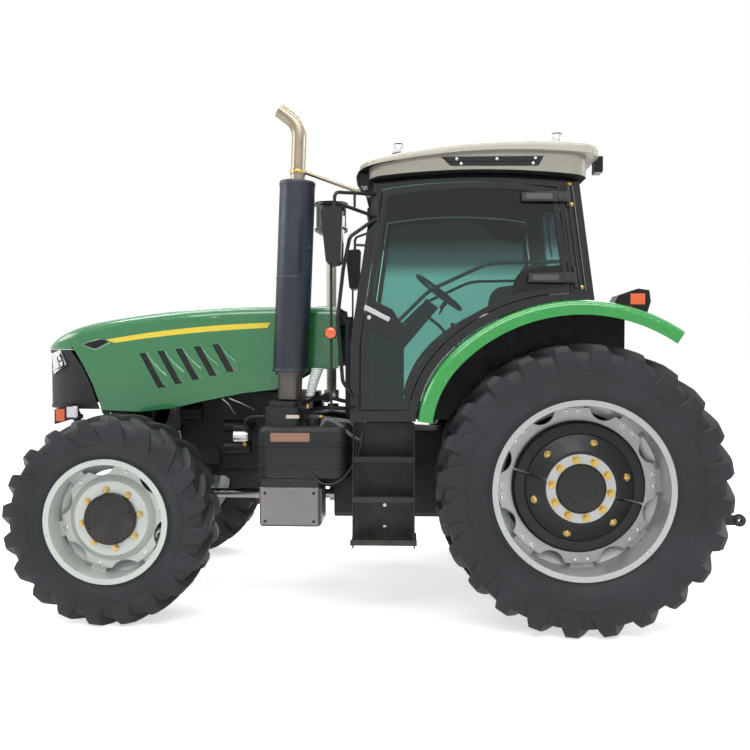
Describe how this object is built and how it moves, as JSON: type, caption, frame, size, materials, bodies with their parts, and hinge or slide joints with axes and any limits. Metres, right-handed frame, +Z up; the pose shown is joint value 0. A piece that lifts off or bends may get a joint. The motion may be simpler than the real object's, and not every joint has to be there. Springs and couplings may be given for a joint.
{
  "type": "farm tractor",
  "caption": "Four-wheel-drive row-crop tractor with a closed cab, long opening hood, upright exhaust and a three-point linkage behind.",
  "frame": {"origin": "on the ground, under the middle of the tractor's overall length and width", "axes": "+X forward, +Y to the driver's left, +Z up"},
  "size_m": [4.8337, 2.336, 3.2873],
  "materials": {
    "paint_green": "gloss",
    "paint_green_bright": "gloss",
    "paint_black": "satin",
    "paint_grey": "satin",
    "paint_cream": "satin",
    "paint_silver": "satin",
    "heat_paint": "matte",
    "brushed_cover": "brushed",
    "steel": "satin",
    "tyre_rubber": "matte",
    "plastic_black": "matte",
    "seat_cloth": "woven",
    "lamp_clear": "gloss",
    "glass": "tinted"
  },
  "bodies": {
    "chassis": {"front_support": "paint_black", "engine": "paint_black", "radiator": "paint_black", "transmission": "paint_black", "rear_axle": "paint_black", "drive_shaft": "paint_black", "front_axle": "paint_black", "fuel_tanks": "plastic_black", "battery_box": "brushed_cover", "steps": "paint_black", "exhaust": "heat_paint", "air_intake": "paint_cream", "fenders": "paint_green_bright", "cab_frame": "paint_black", "cab_floor": "paint_black", "windshield": "glass", "cab_roof": "paint_grey", "dashboard": "plastic_black", "seat_base": "paint_black", "seat": "seat_cloth", "cowl": "paint_black", "lamps": "plastic_black", "mirrors": "plastic_black", "hitch_brackets": "paint_black", "drawbar": "paint_black"},
    "hood": {"hood": "paint_green", "grilles": "plastic_black", "headlamps": "lamp_clear"},
    "knuckle_left": {"knuckle_left": "paint_black"},
    "knuckle_right": {"knuckle_right": "paint_black"},
    "steering_rod": {"steering_rod": "steel"},
    "wheel_front_left": {"tyre_front_left": "tyre_rubber", "rim_front_left": "paint_silver", "hub_front_left": "paint_black"},
    "wheel_front_right": {"tyre_front_right": "tyre_rubber", "rim_front_right": "paint_silver", "hub_front_right": "paint_black"},
    "wheel_rear_left": {"tyre_rear_left": "tyre_rubber", "rim_rear_left": "paint_silver", "hub_rear_left": "paint_black", "weights_rear_left": "paint_black"},
    "wheel_rear_right": {"tyre_rear_right": "tyre_rubber", "rim_rear_right": "paint_silver", "hub_rear_right": "paint_black", "weights_rear_right": "paint_black"},
    "door_left": {"door_left": "paint_black", "door_glass_left": "glass"},
    "door_right": {"door_right": "paint_black", "door_glass_right": "glass"},
    "rear_window": {"rear_window": "glass"},
    "steering_wheel": {"steering_wheel": "plastic_black"},
    "lift_arms": {"lift_arms": "paint_black"},
    "lift_rods": {"lift_rods": "paint_black"},
    "lower_links": {"lower_links": "paint_black"},
    "top_link": {"top_link": "steel"}
  },
  "joints": [
    {"name": "steer_left", "type": "hinge", "parent": "chassis", "child": "knuckle_left", "pos_m": [1.685, 0.665, 0.645], "axis": [0, 0, 1], "range_deg": [-38, 38]},
    {"name": "steer_right", "type": "hinge", "parent": "chassis", "child": "knuckle_right", "pos_m": [1.685, -0.665, 0.645], "axis": [0, 0, 1], "range_deg": [-38, 38]},
    {"name": "steering_rod_slide", "type": "slide", "parent": "chassis", "child": "steering_rod", "axis": [0, -1, 0], "range_m": [-0.12, 0.12]},
    {"name": "front_left_spin", "type": "hinge", "parent": "knuckle_left", "child": "wheel_front_left", "pos_m": [1.685, 0.875, 0.645], "axis": [0, 1, 0], "continuous": true},
    {"name": "front_right_spin", "type": "hinge", "parent": "knuckle_right", "child": "wheel_front_right", "pos_m": [1.685, -0.875, 0.645], "axis": [0, 1, 0], "continuous": true},
    {"name": "rear_left_spin", "type": "hinge", "parent": "chassis", "child": "wheel_rear_left", "pos_m": [-1.2, 0.935, 0.868], "axis": [0, 1, 0], "continuous": true},
    {"name": "rear_right_spin", "type": "hinge", "parent": "chassis", "child": "wheel_rear_right", "pos_m": [-1.2, -0.935, 0.868], "axis": [0, 1, 0], "continuous": true},
    {"name": "door_left_hinge", "type": "hinge", "parent": "chassis", "child": "door_left", "pos_m": [-1.212, 0.76066, 2.14932], "axis": [0.0774, -0.0695, 0.9946], "range_deg": [0, 65]},
    {"name": "door_right_hinge", "type": "hinge", "parent": "chassis", "child": "door_right", "pos_m": [-1.212, -0.76066, 2.14932], "axis": [-0.0774, -0.0695, -0.9946], "range_deg": [0, 65]},
    {"name": "hood_hinge", "type": "hinge", "parent": "chassis", "child": "hood", "pos_m": [0.312, 0, 1.93], "axis": [0, -1, 0], "range_deg": [0, 50]},
    {"name": "rear_window_hinge", "type": "hinge", "parent": "chassis", "child": "rear_window", "pos_m": [-1.2686, 0, 2.727], "axis": [0, 1, 0], "range_deg": [0, 35]},
    {"name": "steering_wheel_turn", "type": "hinge", "parent": "chassis", "child": "steering_wheel", "pos_m": [-0.392, 0, 2.112], "axis": [-0.613, 0, 0.7901], "range_deg": [-570, 570]},
    {"name": "lift_arms_hinge", "type": "hinge", "parent": "chassis", "child": "lift_arms", "pos_m": [-1.35, 0, 1.158], "axis": [0, 1, 0], "range_deg": [-20, 26]},
    {"name": "lower_links_hinge", "type": "hinge", "parent": "chassis", "child": "lower_links", "pos_m": [-1.53, 0, 0.56], "axis": [0, 1, 0], "range_deg": [-20, 26]},
    {"name": "lift_rods_hinge", "type": "hinge", "parent": "lift_arms", "child": "lift_rods", "pos_m": [-1.83, 0, 1.158], "axis": [0, 1, 0], "range_deg": [-26, 20]},
    {"name": "top_link_hinge", "type": "hinge", "parent": "chassis", "child": "top_link", "pos_m": [-1.62, 0, 0.99], "axis": [0, -1, 0], "range_deg": [0, 75]}
  ],
  "couplings": [
    {"joint": "steer_right", "follows": "steer_left", "ratio": 1},
    {"joint": "steering_rod_slide", "follows": "steer_left", "m_per_rad": 0.175},
    {"joint": "steering_wheel_turn", "follows": "steer_left", "ratio": 15},
    {"joint": "lower_links_hinge", "follows": "lift_arms_hinge", "ratio": 1},
    {"joint": "lift_rods_hinge", "follows": "lift_arms_hinge", "ratio": -1}
  ]
}
